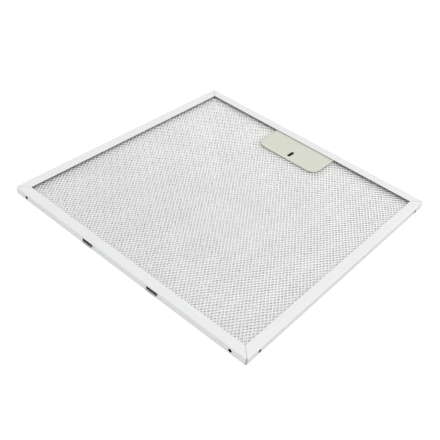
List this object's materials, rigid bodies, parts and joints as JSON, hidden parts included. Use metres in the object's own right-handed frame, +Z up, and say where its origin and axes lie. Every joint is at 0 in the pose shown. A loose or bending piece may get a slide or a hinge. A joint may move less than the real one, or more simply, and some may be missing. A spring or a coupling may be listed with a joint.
{
  "type": "cooker hood grease filter",
  "caption": "Square flat filter for a cooker hood: folded channel frame round crossed layers of expanded aluminium, two hook tabs on one side and a sprung latch on the other.",
  "frame": {"origin": "centre of the square frame, in the plane of its lower lips, on which it lies", "axes": "+Z up through the filter, out of the face with the latch cover; +Y towards the latch; +X to the right when looking towards the latch"},
  "size_m": [0.32, 0.326, 0.0085],
  "materials": {
    "frame_aluminium": "clear anodised, satin",
    "mesh_aluminium": "bright expanded foil",
    "latch_cream": "satin cream",
    "latch_black": "satin black",
    "bolt_steel": "zinc plated",
    "spring_steel": "drawn wire"
  },
  "bodies": {
    "filter": {"frame": "frame_aluminium", "corner_key": "frame_aluminium", "upper_face_mesh": "mesh_aluminium", "inner_mesh_1": "mesh_aluminium", "inner_mesh_2": "mesh_aluminium", "inner_mesh_3": "mesh_aluminium", "inner_mesh_4": "mesh_aluminium", "inner_mesh_5": "mesh_aluminium", "lower_face_mesh": "mesh_aluminium", "latch_cover": "latch_cream", "latch_base": "latch_cream", "latch_spring_left": "spring_steel", "latch_spring_right": "spring_steel"},
    "latch": {"latch_bolt": "bolt_steel", "latch_slide": "latch_black"}
  },
  "joints": [
    {"name": "latch_travel", "type": "slide", "parent": "filter", "child": "latch", "axis": [0, -1, 0], "range_m": [0, 0.005], "stiffness_N_per_m": 400, "springref_m": -0.006, "deforming": ["latch_spring_left", "latch_spring_right"]}
  ]
}
